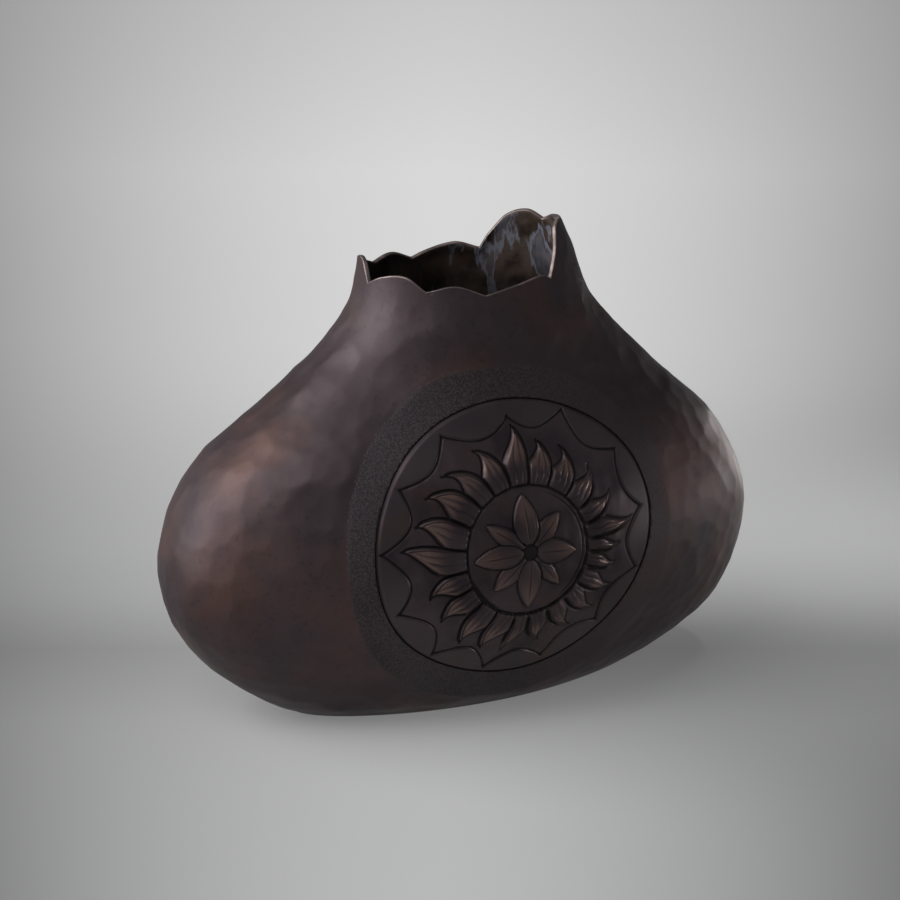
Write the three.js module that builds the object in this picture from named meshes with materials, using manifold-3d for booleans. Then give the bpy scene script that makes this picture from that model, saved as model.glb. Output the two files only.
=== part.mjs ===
// A raised and patinated copper vase: a wide flattened body, a scalloped mouth and a chased medallion.
// Millimetres, +Z up. The front, with the medallion, faces -Y, and +X is to the right of someone facing it.
// The origin is the middle of the underside, on the surface that the vase stands on.
import * as THREE from "three";
import { mergeVertices } from "three/addons/utils/BufferGeometryUtils.js";
import Module from "manifold-3d";

const wasm = await Module();
wasm.setup();

// Sheet, mouth edge and joins
const wallThickness = 1.6;
const rimThickness = 2.4;
const rimBand = 6;
const rimRound = 0.6;
const clearance = 0.3;

// Floor plate, and the brazed strips and fillets inside
const floorThickness = 2;
const filletHeight = 4;
const filletWidth = 3;
const filletToe = 0.25;
const seamWidth = 7;
const seamThickness = 1.2;
const seamStart = 12;
const ringSeamWidth = 9;

// The wall from the floor to above the mouth: reach to each side of the middle, and half depth
const profile = [
  { height: 0, left: 93, right: 100.4, depth: 39.6 },
  { height: 10, left: 110, right: 119.2, depth: 54 },
  { height: 32, left: 137, right: 150, depth: 67 },
  { height: 62, left: 153.2, right: 164, depth: 80.5 },
  { height: 95, left: 151.5, right: 164.2, depth: 83.3 },
  { height: 130, left: 132.3, right: 147, depth: 72.8 },
  { height: 165, left: 87.6, right: 109.6, depth: 53.5 },
  { height: 200, left: 53.6, right: 75.4, depth: 45 },
  { height: 232, left: 46.7, right: 61.8, depth: 37.5 },
  { height: 250, left: 47, right: 52.5, depth: 34.5 },
];

// The section: exponent of its blunt ends, and the share that swells to a crown on each side of the middle
const endBluntness = 2.64;
const leftCrown = 0.18;
const rightCrown = 0.29;

// The mouth's edge as lobes that meet in notches: degrees round the mouth from the right end, and height
const mouthLobes = [
  [[-57, 216.5], [-50, 227], [-40, 240], [-18, 242], [8, 241], [25, 238]],
  [[25, 238], [36, 242], [50, 238.5], [60, 228], [64, 220.5]],
  [[64, 220.5], [75, 223.8], [96, 217]],
  [[96, 217], [111, 221.3], [125.5, 218.5]],
  [[125.5, 218.5], [150, 225], [174, 227.5], [191, 217]],
  [[191, 217], [208, 221.5], [225, 222.5], [236.5, 216]],
  [[236.5, 216], [252, 218.6], [269.5, 213.5]],
  [[269.5, 213.5], [287, 217], [299, 218.8], [303, 216.5]],
];

// The chased medallion, measured along the curved wall from the ring's middle
const medallionX = 4.2;
const medallionHeight = 94.8;
const medallionRadius = 74.1;
const ringRadius = 31.4;
const ringSpacing = 2.6;
const grooveWidth = 0.9;
const grooveDepth = 0.9;
const bossRadius = 3.6;
const bossCrown = 1;
const bossShoulder = 2.8;
const bossRise = 1.1;
const fieldDepth = 0.25;
const blankThickness = 3.5;

// The medallion's edge was drawn by hand: how many waves go round it, their size and their lead in degrees
const edgeDrifts = [
  { times: 1, size: 3.4, lead: 115 },
  { times: 2, size: 1.5, lead: 53 },
  { times: 3, size: 0.8, lead: 100 },
  { times: 4, size: 1.1, lead: 47 },
];

// Flames round the ring, clockwise from the top: degrees of the root's middle and of its half width,
// degrees of the tip, and how far out the tip reaches
const flames = [
  { root: 92.3, half: 8.3, tip: 90, reach: 62.3 },
  { root: 75.3, half: 9.2, tip: 77.9, reach: 54.8 },
  { root: 56, half: 9, tip: 63.8, reach: 54.5 },
  { root: 37.8, half: 8.2, tip: 44, reach: 53.3 },
  { root: 21.8, half: 6.3, tip: 25.3, reach: 53.7 },
  { root: 8.2, half: 5.8, tip: 7, reach: 61.5 },
  { root: -3, half: 5, tip: -4.5, reach: 52.5 },
  { root: -14.8, half: 5.8, tip: -15, reach: 51.5 },
  { root: -29.5, half: 7, tip: -27.5, reach: 54 },
  { root: -46.3, half: 6.8, tip: -43.3, reach: 52.5 },
  { root: -63.5, half: 7, tip: -59.7, reach: 51.7 },
  { root: -80.3, half: 7.2, tip: -79.5, reach: 52.3 },
  { root: -94.8, half: 5.8, tip: -100.5, reach: 55.8 },
  { root: -109.8, half: 8.8, tip: -113.2, reach: 55 },
  { root: -127.8, half: 8.3, tip: -126, reach: 56.5 },
  { root: -146.5, half: 8, tip: -145.5, reach: 54 },
  { root: -162.7, half: 7.8, tip: -160.6, reach: 54 },
  { root: 180.5, half: 8.5, tip: 174.2, reach: 64 },
  { root: 162.5, half: 9.2, tip: 162.5, reach: 58.5 },
  { root: 142.8, half: 9.2, tip: 148, reach: 58 },
  { root: 125, half: 7.5, tip: 134.5, reach: 57 },
  { root: 109.3, half: 8.3, tip: 113, reach: 56.3 },
];
const flameFullness = 2.2;
const flameTaper = 1.35;
const flameHook = 3.5;
const flameDip = 2.4;
const flameTipHalfWidth = 0.25;
const flameRise = 1.7;
const flameTipRise = 0.6;
const flameRootSwell = 0.25;

// Petals inside the ring, clockwise from the top: degrees of the tip, its reach and the half width
const petals = [
  { angle: 93, reach: 28.5, halfWidth: 6.6 },
  { angle: 44.8, reach: 24.3, halfWidth: 5 },
  { angle: -5, reach: 25.4, halfWidth: 6 },
  { angle: -49, reach: 24.6, halfWidth: 3.9 },
  { angle: -90.5, reach: 28.6, halfWidth: 6.2 },
  { angle: -137.7, reach: 25.1, halfWidth: 5.1 },
  { angle: -177, reach: 28.9, halfWidth: 5.7 },
  { angle: 144.4, reach: 26.3, halfWidth: 4.4 },
];
const petalStart = 3.8;
const petalEndHalfWidth = 0.4;
const petalFullness = 0.9;
const petalRise = 1.3;
const petalEndRise = 0.4;
const petalCrease = 0.7;

// Scalloped fields along the edge: degrees of the cusp that each starts from, how far inside the edge
// the cusp lies, and how much further in its arc bows
const scallops = [
  { angle: 9.4, inset: 6.4, depth: 9 },
  { angle: 36.2, inset: 5.5, depth: 11.1 },
  { angle: 65.6, inset: 1.8, depth: 9.4 },
  { angle: 90.6, inset: 8.2, depth: 10.3 },
  { angle: 120.6, inset: 5.3, depth: 8.8 },
  { angle: 149.6, inset: 4.2, depth: 11.8 },
  { angle: 175.6, inset: 2.2, depth: 12.2 },
  { angle: 200.6, inset: 4.6, depth: 11.5 },
  { angle: 228, inset: 2.6, depth: 12 },
  { angle: 255.6, inset: 2.4, depth: 11.6 },
  { angle: 282.5, inset: 4.2, depth: 10.8 },
  { angle: 312.7, inset: 5, depth: 9.9 },
  { angle: 343.1, inset: 3, depth: 11.1 },
];
const scallopEdge = 1.2;
const scallopBow = 0.8;
const scallopRise = 0.45;
const scallopGap = 0.35;
const edgeBand = 4;

// Facets
const wallRows = 12;
const rowGathering = 1.25;
const columnPitch = 5.2;
const medallionColumns = 48;
const flameSteps = 5;
const petalSteps = 4;
const scallopSteps = 4;
const reliefRoot = 1.1;
const backShares = [1, 2 / 3, 1 / 3];
const fewestSteps = 3;
const walkSteps = 12;
const probeTurn = 0.02;
const probeStep = 0.5;
const weldDistance = 1e-4;

const degree = Math.PI / 180;
const fullTurn = 360;
const belowFloor = -4;
const farAway = 400;

// A smooth curve through points [place, value], straight on beyond both ends
function curveThrough(points) {
  const slopes = points.map((point, i) => {
    const before = points[Math.max(i - 1, 0)];
    const after = points[Math.min(i + 1, points.length - 1)];
    return (after[1] - before[1]) / (after[0] - before[0]);
  });
  return (place) => {
    const last = points.length - 1;
    if (place <= points[0][0]) return points[0][1] + slopes[0] * (place - points[0][0]);
    if (place >= points[last][0]) return points[last][1] + slopes[last] * (place - points[last][0]);
    const i = points.findIndex((point) => point[0] > place) - 1;
    const span = points[i + 1][0] - points[i][0];
    const t = (place - points[i][0]) / span;
    const rest = 1 - t;
    return (
      (1 + 2 * t) * rest * rest * points[i][1] +
      t * rest * rest * span * slopes[i] +
      t * t * (3 - 2 * t) * points[i + 1][1] -
      t * t * rest * span * slopes[i + 1]
    );
  };
}

const leftReach = curveThrough(profile.map((p) => [p.height, p.left]));
const rightReach = curveThrough(profile.map((p) => [p.height, p.right]));
const halfDepth = curveThrough(profile.map((p) => [p.height, p.depth]));

// The section's half depth, from 1 amid the front or back to 0 at an end, as across runs from 0 to 1
function swell(across, blunt, crown) {
  return (1 - crown) * blunt + crown * (1 - across * across) ** 2;
}

// A point of the wall's outer face: angle 0 is the right end, a quarter turn on is the middle of the back
function outerPoint(height, angle) {
  const cos = Math.cos(angle);
  const sin = Math.sin(angle);
  const scale = (Math.abs(cos) ** endBluntness + Math.abs(sin) ** endBluntness) ** (-1 / endBluntness);
  const reach = cos > 0 ? rightReach(height) : leftReach(height);
  const crown = cos > 0 ? rightCrown : leftCrown;
  const depth = halfDepth(height) * swell(Math.abs(cos) * scale, Math.abs(sin) * scale, crown);
  return new THREE.Vector3(reach * cos * scale, Math.sign(sin) * depth, height);
}

// A point inside the outer face, measured square to it
function wallPoint(height, angle, inset) {
  const along = outerPoint(height, angle + probeTurn).sub(outerPoint(height, angle - probeTurn));
  const up = outerPoint(height + probeStep, angle).sub(outerPoint(height - probeStep, angle));
  return outerPoint(height, angle).addScaledVector(along.cross(up).normalize(), -inset);
}

// The front of the wall as seen square on: how far forward it lies at a place across and up
function frontFace(x, height) {
  const across = Math.min(Math.abs(x) / (x > 0 ? rightReach(height) : leftReach(height)), 1);
  const blunt = (1 - across ** endBluntness) ** (1 / endBluntness);
  return -halfDepth(height) * swell(across, blunt, x > 0 ? rightCrown : leftCrown);
}

// How steeply the front falls away at a place: the change in depth for a step across and a step up
function frontSlope(x, height) {
  return [
    (frontFace(x + probeStep, height) - frontFace(x - probeStep, height)) / (2 * probeStep),
    (frontFace(x, height + probeStep) - frontFace(x, height - probeStep)) / (2 * probeStep),
  ];
}

// Where a place on the medallion lies, seen square on: distances are walked along the curved wall
function medallionPlace(radius, angle) {
  const place = [0, 0];
  [radius * Math.cos(angle), radius * Math.sin(angle)].forEach((distance, axis) => {
    for (let i = 0; i < walkSteps; i++) {
      const x = medallionX + (axis === 0 ? place[0] : 0);
      const height = medallionHeight + (axis === 1 ? place[1] : 0);
      place[axis] += distance / walkSteps / Math.hypot(1, frontSlope(x, height)[axis]);
    }
  });
  return [medallionX + place[0], medallionHeight + place[1]];
}

// The radius of the medallion's edge in a direction
function edgeRadius(angle) {
  let radius = medallionRadius;
  edgeDrifts.forEach(({ times, size, lead }) => {
    radius += size * Math.cos(times * angle - lead * degree);
  });
  return radius;
}

// A point of the medallion, lifted straight forward off the wall's face
function medallionPoint(radius, angle, lift) {
  const [x, height] = medallionPlace(radius, angle);
  return new THREE.Vector3(x, frontFace(x, height) - lift, height);
}

// The same at a depth behind the face, measured square to the wall
function medallionBack(radius, angle, inset) {
  const [x, height] = medallionPlace(radius, angle);
  const [across, up] = frontSlope(x, height);
  return new THREE.Vector3(x, frontFace(x, height) + inset * Math.hypot(1, across, up), height);
}

function copies(count, make) {
  return Array.from({ length: count }, (_, i) => make(i));
}

// Directions round the medallion, one for each of its columns
const medallionTurns = copies(medallionColumns, (i) => (i * 2 * Math.PI) / medallionColumns);

// A closed geometry as a solid
function solidFrom(geometry) {
  const plain = geometry.clone();
  plain.deleteAttribute("normal");
  plain.deleteAttribute("uv");
  const merged = mergeVertices(plain, weldDistance);
  return new wasm.Manifold(
    new wasm.Mesh({
      numProp: 3,
      vertProperties: new Float32Array(merged.attributes.position.array),
      triVerts: new Uint32Array(merged.index.array),
    }),
  );
}

// A skin over rings of points: the last ring joins the first, or both ends are closed by a fan
function loft(rings, joined) {
  const count = rings[0].length;
  const points = rings.flat();
  const faces = [];
  const links = joined ? rings.length : rings.length - 1;
  for (let i = 0; i < links; i++) {
    const here = i * count;
    const next = ((i + 1) % rings.length) * count;
    for (let j = 0; j < count; j++) {
      const k = (j + 1) % count;
      faces.push(here + j, here + k, next + k, here + j, next + k, next + j);
    }
  }
  if (!joined) {
    for (const [start, turned] of [[0, true], [(rings.length - 1) * count, false]]) {
      const middle = new THREE.Vector3();
      for (let j = 0; j < count; j++) middle.addScaledVector(points[start + j], 1 / count);
      const hub = points.push(middle) - 1;
      for (let j = 0; j < count; j++) {
        const k = (j + 1) % count;
        if (turned) faces.push(hub, start + k, start + j);
        else faces.push(hub, start + j, start + k);
      }
    }
  }
  if (signedVolume(points, faces) < 0) faces.reverse();
  const geometry = new THREE.BufferGeometry().setFromPoints(points);
  geometry.setIndex(faces);
  return solidFrom(geometry);
}

function signedVolume(points, faces) {
  let sum = 0;
  for (let i = 0; i < faces.length; i += 3) {
    const [a, b, c] = [points[faces[i]], points[faces[i + 1]], points[faces[i + 2]]];
    sum += a.dot(new THREE.Vector3().crossVectors(b, c)) / 6;
  }
  return sum;
}

function box(low, high) {
  const size = high.map((v, i) => v - low[i]);
  const geometry = new THREE.BoxGeometry(...size);
  geometry.translate(...low.map((v, i) => v + size[i] / 2));
  return solidFrom(geometry);
}

// Everything between two heights
function slab(low, high) {
  return box([-farAway, -farAway, low], [farAway, farAway, high]);
}

// Columns round the wall, with one on each notch of the mouth, and the mouth's height at each
const columns = mouthLobes.flatMap((lobe) => {
  const edge = curveThrough(lobe);
  const from = lobe[0][0];
  const to = lobe[lobe.length - 1][0];
  const steps = Math.max(fewestSteps, Math.round((to - from) / columnPitch));
  return Array.from({ length: steps }, (_, i) => {
    const place = from + ((to - from) * i) / steps;
    return { angle: place * degree, edge: edge(place) };
  });
});
const lowestEdge = Math.min(...columns.map((column) => column.edge));
const collar = lowestEdge - rimBand - rimRound;
const levelRows = [belowFloor];
for (let i = 0; i <= wallRows; i++) levelRows.push(collar * (i / wallRows) ** rowGathering);

function levelRing(height, inset) {
  return columns.map((column) => wallPoint(height, column.angle, inset));
}

function edgeRing(drop, inset) {
  return columns.map((column) => wallPoint(column.edge - drop, column.angle, inset));
}

// The whole hollow wall, open at the mouth and the floor, thickened towards the mouth's rounded edge
function vesselWall() {
  const outer = levelRows.map((height) => levelRing(height, 0));
  const inner = levelRows.map((height) => levelRing(height, wallThickness)).reverse();
  const edge = [
    edgeRing(rimBand, 0),
    edgeRing(rimRound, 0),
    edgeRing(0, rimRound),
    edgeRing(0, rimThickness - rimRound),
    edgeRing(rimRound, rimThickness),
    edgeRing(rimBand, wallThickness),
  ];
  return loft([...outer, ...edge, ...inner], true).intersect(slab(0, farAway));
}

// The space inside the wall up to the collar, drawn in by an inset that may change with height
function insideOf(inset) {
  return loft(levelRows.map((height) => levelRing(height, inset(height))), false);
}

// A straight plug through the front with the medallion's outline, grown by a margin
function frontPlug(margin) {
  const outline = (y) =>
    medallionTurns.map((angle) => {
      const [x, height] = medallionPlace(edgeRadius(angle) + margin, angle);
      return new THREE.Vector3(x, y, height);
    });
  return loft([outline(-farAway), outline(-wallThickness)], false);
}

const seat = wallThickness + clearance;
const wholeWall = vesselWall();
const seatSpace = insideOf(() => seat);
const innerSpace = insideOf(() => wallThickness);

function frontShell() {
  const half = wholeWall.intersect(box([-farAway, -farAway, 0], [farAway, -clearance / 2, farAway]));
  return half.subtract(frontPlug(clearance));
}

function backShell() {
  return wholeWall.intersect(box([-farAway, clearance / 2, 0], [farAway, farAway, farAway]));
}

function basePlate() {
  return seatSpace.intersect(slab(0, floorThickness));
}

// A fillet in the corner of floor and wall, widest at the floor
function baseSeam() {
  const foot = floorThickness + clearance;
  const top = foot + filletHeight;
  const hollow = insideOf((height) => {
    const depth = THREE.MathUtils.clamp((top - height) / filletHeight, filletToe, 1);
    return seat + filletWidth * depth;
  });
  return seatSpace.intersect(slab(foot, top)).subtract(hollow);
}

// A strip that backs the join of the two shells at one end, along the wall's own rows
function sideSeam(endAngle) {
  const rows = levelRows.filter((height) => height >= seamStart && height <= collar);
  const across = endAngle === 0 ? 1 : -1;
  const sections = rows.map((height) => {
    const crown = endAngle === 0 ? rightCrown : leftCrown;
    const turn = Math.asin(seamWidth / 2 / (halfDepth(height) * (1 - crown)));
    const places = [-turn, 0, turn].map((offset) => endAngle + across * offset);
    return [
      ...places.map((angle) => wallPoint(height, angle, seat)),
      ...places.reverse().map((angle) => wallPoint(height, angle, seat + seamThickness)),
    ];
  });
  return loft(sections, false);
}

// A ring that backs the medallion's edge
function medallionSeam() {
  const skin = seatSpace.subtract(insideOf(() => seat + seamThickness));
  const ring = frontPlug(ringSeamWidth / 2);
  return skin.intersect(ring.subtract(frontPlug(-ringSeamWidth / 2)));
}

// The medallion's plain face from the middle out to its edge: radius, and lift off the wall's face
function faceProfile(edge) {
  const groove = (radius) => [
    [radius - grooveWidth, -fieldDepth],
    [radius, -grooveDepth],
    [radius + grooveWidth, -fieldDepth],
  ];
  return [
    [bossCrown, bossRise],
    [bossShoulder, bossRise - fieldDepth],
    [bossRadius, -fieldDepth],
    [(bossRadius + ringRadius) / 2, -fieldDepth],
    ...groove(ringRadius - ringSpacing / 2),
    ...groove(ringRadius + ringSpacing / 2),
    [(ringRadius + edge) / 2, -fieldDepth],
    [edge - edgeBand, -fieldDepth],
    [edge, 0],
  ];
}

// A raised figure on the medallion: sections of [radius, angle, lift] along its length
function relief(sections) {
  return loft(
    sections.map((section) => section.map(([radius, angle, lift]) => medallionPoint(radius, angle, lift))),
    false,
  );
}

// One flame: a ridged tongue that dips clockwise and hooks to its tip
function flame({ root, half, tip, reach }) {
  const start = ringRadius + ringSpacing / 2 + grooveWidth;
  const sections = copies(flameSteps + 1, (i) => {
    const t = i / flameSteps;
    const radius = start + (reach - start) * t;
    const hook = (tip - root) * t ** flameHook - flameDip * Math.sin(Math.PI * t * t);
    const angle = (root + hook) * degree;
    const width = half * degree * (1 - t ** flameFullness) ** flameTaper;
    const side = Math.max(width, flameTipHalfWidth / radius);
    const swelling = Math.sin(Math.PI * Math.min(t + flameRootSwell, 1));
    const rise = flameTipRise + (flameRise - flameTipRise) * swelling;
    return [
      [radius, angle - side, -reliefRoot],
      [radius, angle - side, 0],
      [radius, angle, rise],
      [radius, angle + side, 0],
      [radius, angle + side, -reliefRoot],
    ];
  });
  return relief(sections);
}

// One petal: a leaf with two crowned sides and a crease along its middle
function petal({ angle, reach, halfWidth }) {
  const middle = angle * degree;
  const sections = copies(petalSteps + 1, (i) => {
    const t = i / petalSteps;
    const radius = petalStart + (reach - petalStart) * t;
    const width = halfWidth * Math.sin(Math.PI * t ** petalFullness);
    const half = Math.max(width, petalEndHalfWidth) / radius;
    const rise = Math.max(petalRise * Math.sin(Math.PI * t), petalEndRise);
    return [
      [radius, middle - half, -reliefRoot],
      [radius, middle - half, 0],
      [radius, middle - half / 2, rise],
      [radius, middle, rise - petalCrease * Math.sin(Math.PI * t)],
      [radius, middle + half / 2, rise],
      [radius, middle + half, 0],
      [radius, middle + half, -reliefRoot],
    ];
  });
  return relief(sections);
}

// One scalloped field between the medallion's edge and an arc that bows inwards from cusp to cusp
function scallop({ angle, inset, depth }, index) {
  const next = scallops[(index + 1) % scallops.length];
  const gap = scallopGap / medallionRadius / degree;
  const span = ((next.angle - angle + fullTurn) % fullTurn) - 2 * gap;
  const sections = copies(scallopSteps + 1, (i) => {
    const t = i / scallopSteps;
    const turn = (angle + gap + span * t) * degree;
    const edge = edgeRadius(turn);
    const cusp = inset + (next.inset - inset) * t;
    const inner = edge - cusp - depth * Math.sin(Math.PI * t) ** scallopBow;
    const outer = edge - scallopEdge;
    return [
      [inner, turn, -reliefRoot],
      [inner, turn, 0],
      [(2 * inner + outer) / 3, turn, scallopRise],
      [outer, turn, 0],
      [outer, turn, -reliefRoot],
    ];
  });
  return relief(sections);
}

function medallionDisc() {
  const profiles = medallionTurns.map((angle) => faceProfile(edgeRadius(angle)));
  const faceRings = profiles[0].map((_, k) =>
    medallionTurns.map((angle, i) => medallionPoint(profiles[i][k][0], angle, profiles[i][k][1])),
  );
  const backRings = backShares.map((share) =>
    medallionTurns.map((angle) => medallionBack(share * edgeRadius(angle), angle, blankThickness)),
  );
  const blank = loft([...faceRings, ...backRings], false).subtract(innerSpace);
  const figures = [...flames.map(flame), ...petals.map(petal), ...scallops.map(scallop)];
  return figures.reduce((disc, figure) => disc.add(figure), blank);
}

function mesh(name, solid, material) {
  const made = solid.getMesh();
  const geometry = new THREE.BufferGeometry();
  geometry.setAttribute("position", new THREE.BufferAttribute(new Float32Array(made.vertProperties), 3));
  geometry.setIndex(new THREE.BufferAttribute(new Uint32Array(made.triVerts), 1));
  geometry.computeVertexNormals();
  const part = new THREE.Mesh(geometry, material);
  part.name = name;
  return part;
}

const patina = new THREE.MeshStandardMaterial({ color: 0x3a3032, roughness: 0.5, metalness: 0.6 });
const chased = new THREE.MeshStandardMaterial({ color: 0x453a38, roughness: 0.45, metalness: 0.6 });
const inside = new THREE.MeshStandardMaterial({ color: 0x1c1a1c, roughness: 0.6, metalness: 0.5 });
const braze = new THREE.MeshStandardMaterial({ color: 0x4a3f30, roughness: 0.6, metalness: 0.6 });

const vase = new THREE.Group();
vase.name = "vase";
vase.add(mesh("front_shell", frontShell(), patina));
vase.add(mesh("back_shell", backShell(), patina));
vase.add(mesh("medallion_disc", medallionDisc(), chased));
vase.add(mesh("base_plate", basePlate(), inside));
vase.add(mesh("base_seam", baseSeam(), braze));
vase.add(mesh("left_side_seam", sideSeam(Math.PI), braze));
vase.add(mesh("right_side_seam", sideSeam(0), braze));
vase.add(mesh("medallion_seam", medallionSeam(), braze));

export default vase;
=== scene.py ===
# A raised and patinated copper vase: planished wall, scalloped mouth and chased medallion.
# The vase's own sizes are in millimetres, +Z up, with the front facing -Y; every object is made in metres.
import math

import bpy
import numpy as np
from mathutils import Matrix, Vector
from mathutils.kdtree import KDTree


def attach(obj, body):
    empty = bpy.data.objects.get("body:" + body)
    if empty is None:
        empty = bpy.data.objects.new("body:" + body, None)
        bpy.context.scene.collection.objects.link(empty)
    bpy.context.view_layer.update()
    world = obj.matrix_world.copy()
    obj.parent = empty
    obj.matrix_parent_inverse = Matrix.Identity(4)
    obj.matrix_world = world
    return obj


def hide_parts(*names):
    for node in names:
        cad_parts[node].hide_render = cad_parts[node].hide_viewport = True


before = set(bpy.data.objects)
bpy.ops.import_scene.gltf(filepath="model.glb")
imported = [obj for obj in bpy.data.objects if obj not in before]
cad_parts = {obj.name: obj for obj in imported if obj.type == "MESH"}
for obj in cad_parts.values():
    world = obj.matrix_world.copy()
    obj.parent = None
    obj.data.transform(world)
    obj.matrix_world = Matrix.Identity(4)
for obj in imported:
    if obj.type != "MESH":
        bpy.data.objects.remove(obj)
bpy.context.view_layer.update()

MM = 0.001
DEGREE = math.pi / 180
SEED = 7

# The sheet's thickness; the mouth edge's, the height over which it grows to that, the edge's rounding, and
# how far it stays below the lobes' height
WALL = 1.6
RIM_THICKNESS = 2.4
RIM_BAND = 6.0
RIM_ROUND = 0.6
RIM_DROP = 0.1

# The gap round the medallion, and how near a point is to the halves' joint to count as on it, in metres
CLEARANCE = 0.3
SEAM_TOUCH = 0.00001

# The wall from the floor to above the mouth: height, reach to the left and right, half depth
PROFILE = [
    (0, 93, 100.4, 39.6),
    (10, 110, 119.2, 54),
    (32, 137, 150, 67),
    (62, 153.2, 164, 80.5),
    (95, 151.5, 164.2, 83.3),
    (130, 132.3, 147, 72.8),
    (165, 87.6, 109.6, 53.5),
    (200, 53.6, 75.4, 45),
    (232, 46.7, 61.8, 37.5),
    (250, 47, 52.5, 34.5),
]
END_BLUNTNESS = 2.64
LEFT_CROWN = 0.18
RIGHT_CROWN = 0.29

# The mouth's edge as lobes that meet in notches: degrees round from the right end, and height
LOBES = [
    [(-57, 216.5), (-50, 227), (-40, 240), (-18, 242), (8, 241), (25, 238)],
    [(25, 238), (36, 242), (50, 238.5), (60, 228), (64, 220.5)],
    [(64, 220.5), (75, 223.8), (96, 217)],
    [(96, 217), (111, 221.3), (125.5, 218.5)],
    [(125.5, 218.5), (150, 225), (174, 227.5), (191, 217)],
    [(191, 217), (208, 221.5), (225, 222.5), (236.5, 216)],
    [(236.5, 216), (252, 218.6), (269.5, 213.5)],
    [(269.5, 213.5), (287, 217), (299, 218.8), (303, 216.5)],
]

# The chased medallion, measured along the curved wall from its middle
MEDALLION_X = 4.2
MEDALLION_HEIGHT = 94.8
MEDALLION_RADIUS = 74.1
RING_RADIUS = 31.4
RING_SPACING = 2.6
BOSS_RADIUS = 3.6

# The medallion's edge was drawn by hand: how many waves go round it, their size and their lead in degrees
EDGE_DRIFTS = [(1, 3.4, 115), (2, 1.5, 53), (3, 0.8, 100), (4, 1.1, 47)]

# Flames round the ring, clockwise from the top: degrees of the root's middle and of its half width,
# degrees of the tip, and how far out the tip reaches
FLAMES = [
    (92.3, 8.3, 90, 62.3), (75.3, 9.2, 77.9, 54.8),
    (56, 9, 63.8, 54.5), (37.8, 8.2, 44, 53.3),
    (21.8, 6.3, 25.3, 53.7), (8.2, 5.8, 7, 61.5),
    (-3, 5, -4.5, 52.5), (-14.8, 5.8, -15, 51.5),
    (-29.5, 7, -27.5, 54), (-46.3, 6.8, -43.3, 52.5),
    (-63.5, 7, -59.7, 51.7), (-80.3, 7.2, -79.5, 52.3),
    (-94.8, 5.8, -100.5, 55.8), (-109.8, 8.8, -113.2, 55),
    (-127.8, 8.3, -126, 56.5), (-146.5, 8, -145.5, 54),
    (-162.7, 7.8, -160.6, 54), (180.5, 8.5, 174.2, 64),
    (162.5, 9.2, 162.5, 58.5), (142.8, 9.2, 148, 58),
    (125, 7.5, 134.5, 57), (109.3, 8.3, 113, 56.3),
]
FLAME_START = 33.2
FLAME_HOOK = 2.6
# How high a flame stands, over what width its sides rise, its lobes' rise, and its flow lines' half width
# and depth
FLAME_RISE = 1.45
FLAME_SHOULDER = 2.7
LOBE_RISE = 0.3
FLOW_WIDTH = 0.95
FLOW_DEPTH = 0.34
# Half width and depth of the chased line between two flames, which is heavier on the right; its dark is
# partly patina and partly painted shade, and the wider dark lines on the right are painted shade in the gaps
# between the flames
FLAME_LINE = (1.0, 0.95)
FLAME_LINE_RIGHT = (1.35, 1.3)
# A flame's two sides from its root to its tip: share of the way, and share of the half width
NEAR_SIDE = [(0, 0.98), (0.3, 1.04), (0.5, 1.0), (0.68, 0.82), (0.84, 0.52), (0.94, 0.26), (1, 0)]
FAR_SIDE = [
    (0, 1.0), (0.3, 1.02), (0.42, 0.95), (0.54, 0.62),
    (0.66, 0.26), (0.8, 0.0), (0.92, -0.07), (1, 0),
]

# Petals inside the ring, clockwise from the top: degrees of the tip, its reach and the half width
PETALS = [
    (93, 28.5, 6.6), (44.8, 24.3, 5),
    (-5, 25.4, 6), (-49, 24.6, 3.9),
    (-90.5, 28.6, 6.2), (-137.7, 25.1, 5.1),
    (-177, 28.9, 5.7), (144.4, 26.3, 4.4),
]
PETAL_START = 3.4
# How much higher a petal stands at mid length, half width and depth of its middle line and of its outline,
# and the places of its fine lines as shares of its half width
PETAL_RISE = 0.95
VEIN_WIDTH, VEIN_DEPTH = 0.6, 0.35
OUTLINE_WIDTH, OUTLINE_DEPTH = 0.8, 0.75
FINE_LINES = (-0.66, -0.36, 0.36, 0.66)

# Scalloped fields along the edge: degrees of the cusp that each starts from, how far inside the edge
# the cusp lies, and how much further in its arc bows
SCALLOPS = [
    (9.4, 6.4, 9), (36.2, 5.5, 11.1), (65.6, 1.8, 9.4),
    (90.6, 8.2, 10.3), (120.6, 5.3, 8.8), (149.6, 4.2, 11.8),
    (175.6, 2.2, 12.2), (200.6, 4.6, 11.5), (228, 2.6, 12),
    (255.6, 2.4, 11.6), (282.5, 4.2, 10.8), (312.7, 5, 9.9),
    (343.1, 3, 11.1),
]
# Half width and depth of the scallops' chased arcs, and how high their fields stand
SCALLOP_WIDTH, SCALLOP_DEPTH = 0.8, 0.6
SCALLOP_RISE = 0.55

# The matt band outside the medallion: degrees round it, and the radius of the band's outer edge
BAND_EDGE = [
    (0, 89.5), (60, 91), (92, 92), (110, 94.5), (128, 91),
    (165, 90.2), (190, 90.5), (240, 91.5), (300, 90), (360, 89.5),
]
# What counts as outside the band where there is none, as on the back
FAR_FROM_BAND = 100.0

# Where the cut for the medallion begins in front of the wall and where it ends inside the vase
HOLE_FROM, HOLE_TO = -150, -20

# The camera, fitted to the vase's outline in the photograph
CAMERA_TURN = -24.015
CAMERA_RISE = 16.985
CAMERA_DISTANCE = 1177.633
CAMERA_TARGET = (-1.1143, 0, 123.965)
CAMERA_LENS = 92.52
CAMERA_SENSOR = 36.0


def direction(turn, rise):
    """The unit vector towards a place seen from the vase: turn 0 is the front, positive to the right."""
    a, e = turn * DEGREE, rise * DEGREE
    return Vector((math.sin(a) * math.cos(e), -math.cos(a) * math.cos(e), math.sin(e)))


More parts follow.
